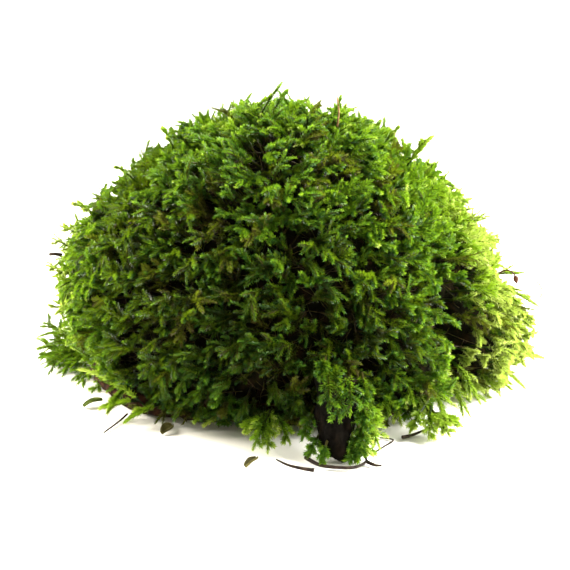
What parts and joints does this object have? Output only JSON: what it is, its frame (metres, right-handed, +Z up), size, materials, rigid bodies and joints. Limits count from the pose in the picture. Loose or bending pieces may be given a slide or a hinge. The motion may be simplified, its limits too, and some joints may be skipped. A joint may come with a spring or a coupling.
{
  "type": "moss clump",
  "caption": "Domed clump of green feather moss on a flat-cut pad of brown humus, with bark, twigs and dead leaves at its foot; stands on its base as ground cover or terrarium dressing.",
  "frame": {"origin": "on the ground, at the centre of the clump's box as seen from above", "axes": "+X is the clump's right, with the lower bright lobe; -Y is its front, with the bark wedge; +Z is up, out of the ground it stands on"},
  "size_m": [0.1454, 0.1232, 0.0797],
  "materials": {
    "moss": "matte",
    "moss_tips": "matte",
    "humus": "matte",
    "bark": "matte",
    "twig": "matte",
    "straw": "matte",
    "capsule": "satin",
    "dead_leaf": "matte"
  },
  "bodies": {
    "root": {"humus_pad": "humus", "moss_cushion": "moss", "tuft_left": "moss", "tuft_front": "moss_tips", "tuft_bark": "moss_tips", "tuft_right": "moss_tips", "bark_chip": "bark", "twig_forked": "twig", "twig_bent": "twig", "twig_side": "twig", "twig_stub": "twig", "strand_wiry": "twig", "rootlet_left": "twig", "straw_upright": "straw", "straw_curled": "straw", "sporophyte": "capsule", "leaf_dry": "dead_leaf", "leaf_flake_a": "dead_leaf", "leaf_flake_b": "dead_leaf"}
  },
  "joints": []
}
